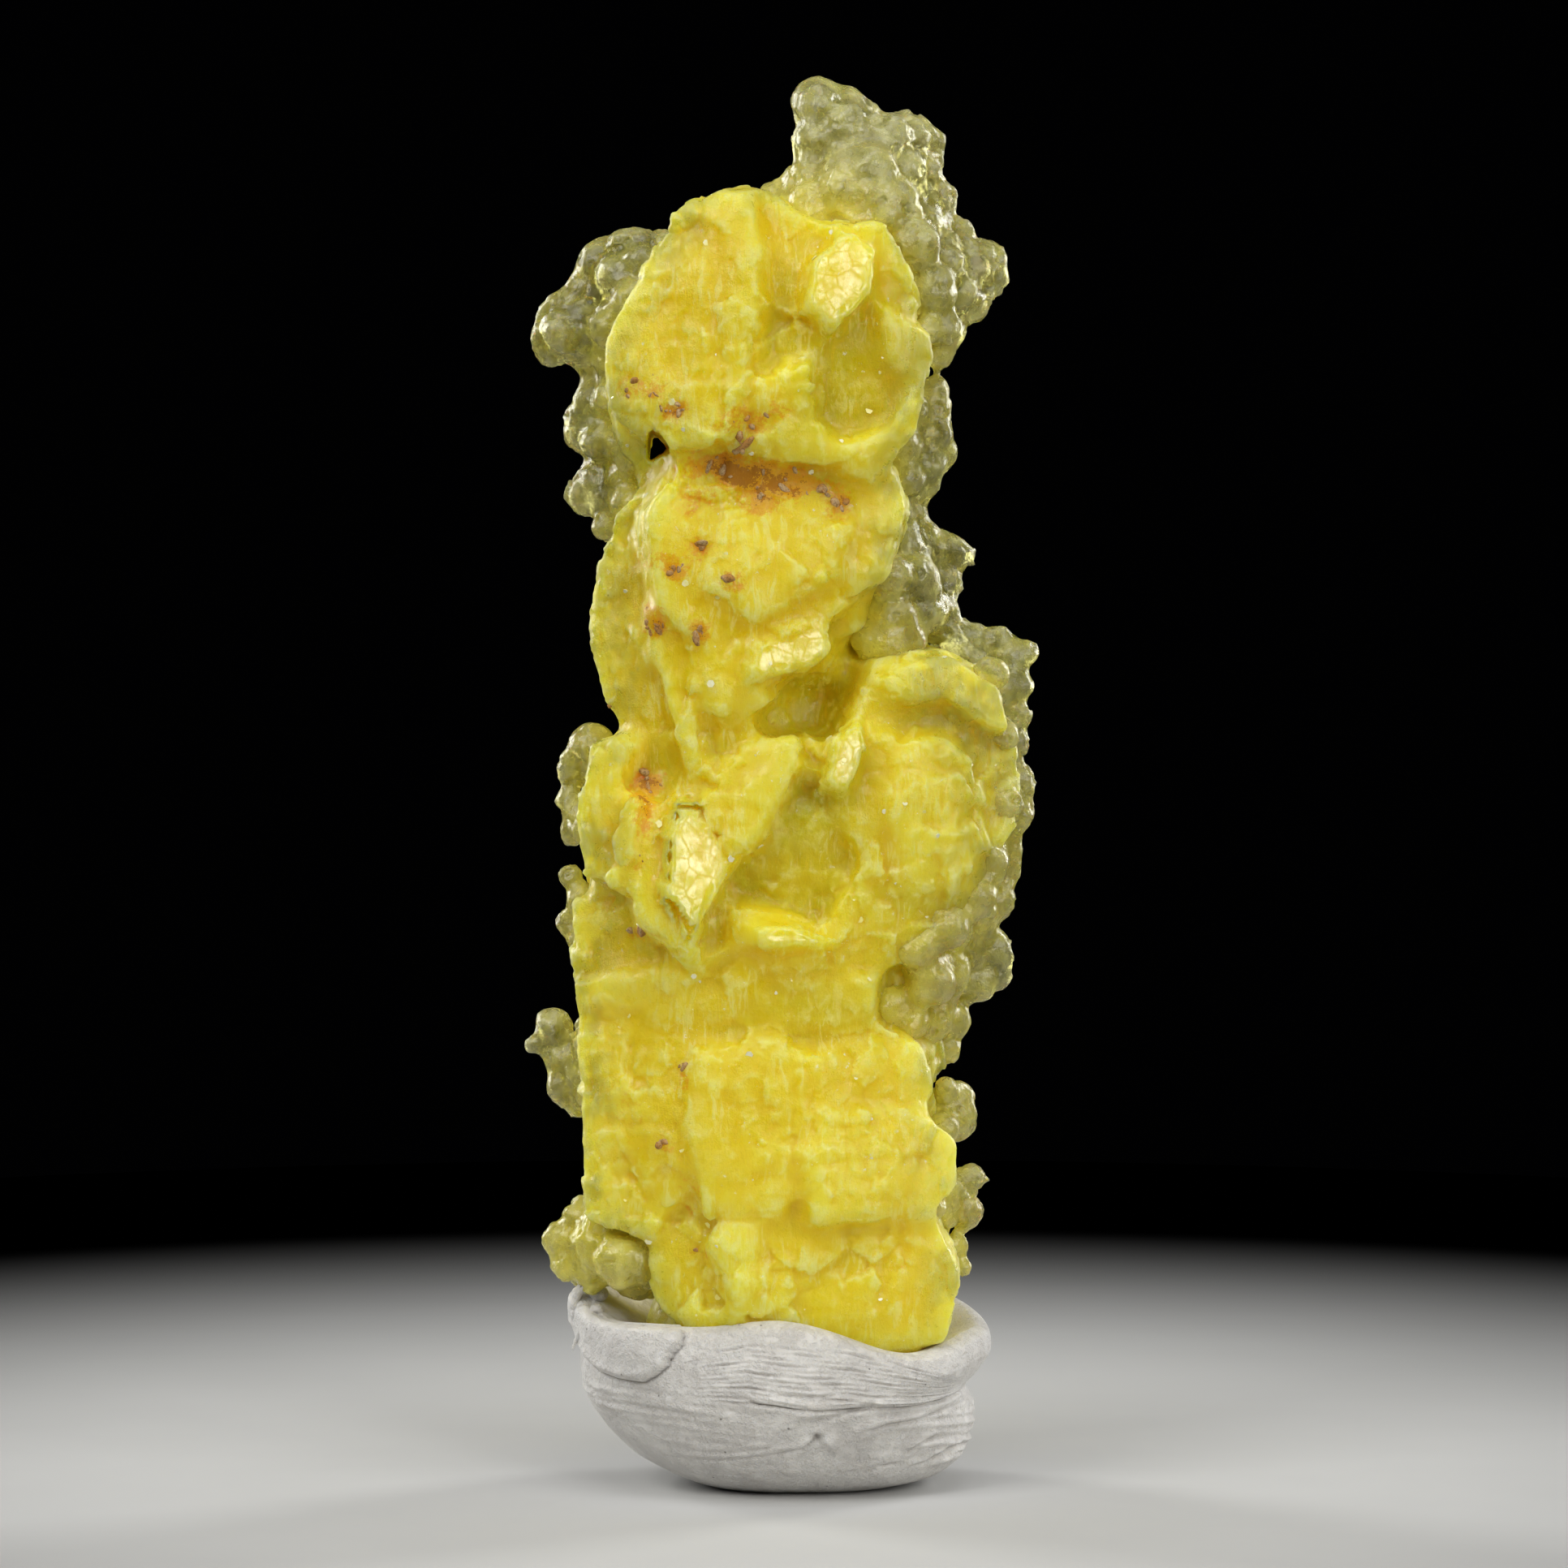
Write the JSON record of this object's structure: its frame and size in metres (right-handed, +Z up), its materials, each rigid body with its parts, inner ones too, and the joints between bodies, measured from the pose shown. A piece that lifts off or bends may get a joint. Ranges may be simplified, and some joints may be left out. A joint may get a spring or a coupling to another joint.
{
  "type": "brucite specimen",
  "caption": "Tall cluster of waxy lemon yellow brucite crystals edged with clear botryoidal lobes, standing upright in a pressed lump of white mineral tack.",
  "frame": {"origin": "centre of the flat foot that the tack stands on, at floor level", "axes": "+Z up along the cluster, -Y towards the best side of the specimen, +X to its right"},
  "size_m": [0.0322, 0.0213, 0.087],
  "materials": {
    "brucite": "waxy, translucent, pearly on cleavage faces",
    "clear_brucite": "frosted clear lobes",
    "iron_stain": "matte brown grains",
    "white_tack": "matte, pressed by hand"
  },
  "bodies": {
    "root": {"brucite_cluster": "brucite", "putty_base": "white_tack"}
  },
  "joints": []
}
